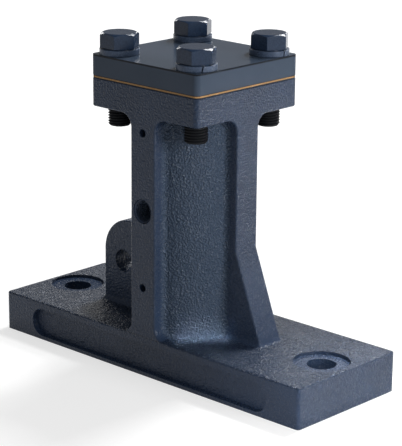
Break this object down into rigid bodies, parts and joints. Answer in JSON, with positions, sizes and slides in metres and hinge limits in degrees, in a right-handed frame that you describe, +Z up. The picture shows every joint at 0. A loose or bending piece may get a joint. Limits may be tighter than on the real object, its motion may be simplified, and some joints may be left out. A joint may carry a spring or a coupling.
{
  "type": "pneumatic piston vibrator",
  "caption": "Upright air-driven piston vibrator: ribbed cast barrel on a flat two-hole base, with a square bolted cover, a gusset and a drilled safety lug.",
  "frame": {"origin": "middle of the base's underside", "axes": "+Z up along the cylinder; +X along the base towards the gusset; the front face with the air inlet looks towards -Y"},
  "size_m": [0.2254, 0.0794, 0.1866],
  "materials": {
    "cast_body": "sand-cast grain under a thin dark blue-grey coat",
    "cover_paint": "smooth semi-gloss dark blue-grey paint",
    "gasket_paper": "dense tan gasket sheet, cut edge",
    "bolt_steel": "dark satin oxide on forged steel",
    "washer_steel": "dark satin spring steel",
    "piston_steel": "ground and oiled steel"
  },
  "bodies": {
    "housing": {"body_casting": "cast_body", "cover_gasket": "gasket_paper", "cover_plate": "cover_paint", "cover_bolt_front_left": "bolt_steel", "cover_bolt_front_right": "bolt_steel", "cover_bolt_rear_left": "bolt_steel", "cover_bolt_rear_right": "bolt_steel", "lock_washer_front_left": "washer_steel", "lock_washer_front_right": "washer_steel", "lock_washer_rear_left": "washer_steel", "lock_washer_rear_right": "washer_steel"},
    "piston": {"piston": "piston_steel"}
  },
  "joints": [
    {"name": "piston_stroke", "type": "slide", "parent": "housing", "child": "piston", "axis": [0, 0, 1], "range_m": [0, 0.0382]}
  ]
}
